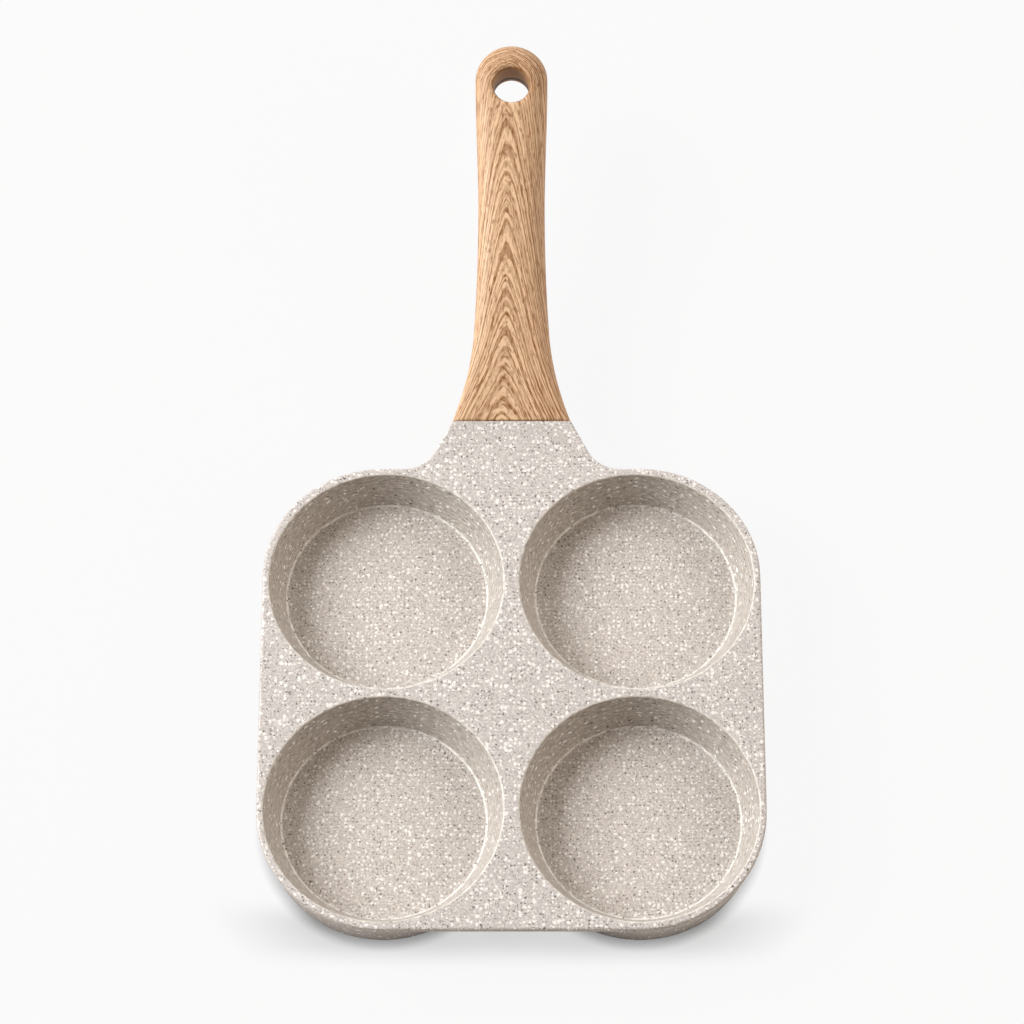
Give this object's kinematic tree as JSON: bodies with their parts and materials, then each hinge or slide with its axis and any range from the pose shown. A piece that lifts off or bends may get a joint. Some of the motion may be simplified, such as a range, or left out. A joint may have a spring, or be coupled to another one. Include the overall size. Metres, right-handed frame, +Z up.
{
  "type": "pancake pan",
  "caption": "Cast pancake pan with round shallow cups in a square plate with rounded corners, granite-effect coating and a rising wood-effect handle with a hang hole.",
  "frame": {"origin": "under the middle of the whole pan, on the plane of the cup bottoms", "axes": "+X to the right seen from the cook's side, +Y along the handle away from the cups, +Z up out of the cups"},
  "size_m": [0.188, 0.3626, 0.0466],
  "materials": {
    "granite_coating": "matte granite-effect non-stick coating on cast aluminium",
    "wood_effect_grip": "satin wood-effect film on moulded phenolic",
    "zinc_steel": "zinc plated",
    "disc_steel": "circular brushed ferritic steel"
  },
  "bodies": {
    "root": {"pan_casting": "granite_coating", "handle_grip": "wood_effect_grip", "handle_screw": "zinc_steel", "spring_washer": "zinc_steel", "flat_washer": "zinc_steel", "induction_disc_front_left": "disc_steel", "induction_disc_front_right": "disc_steel", "induction_disc_back_left": "disc_steel", "induction_disc_back_right": "disc_steel"}
  },
  "joints": []
}
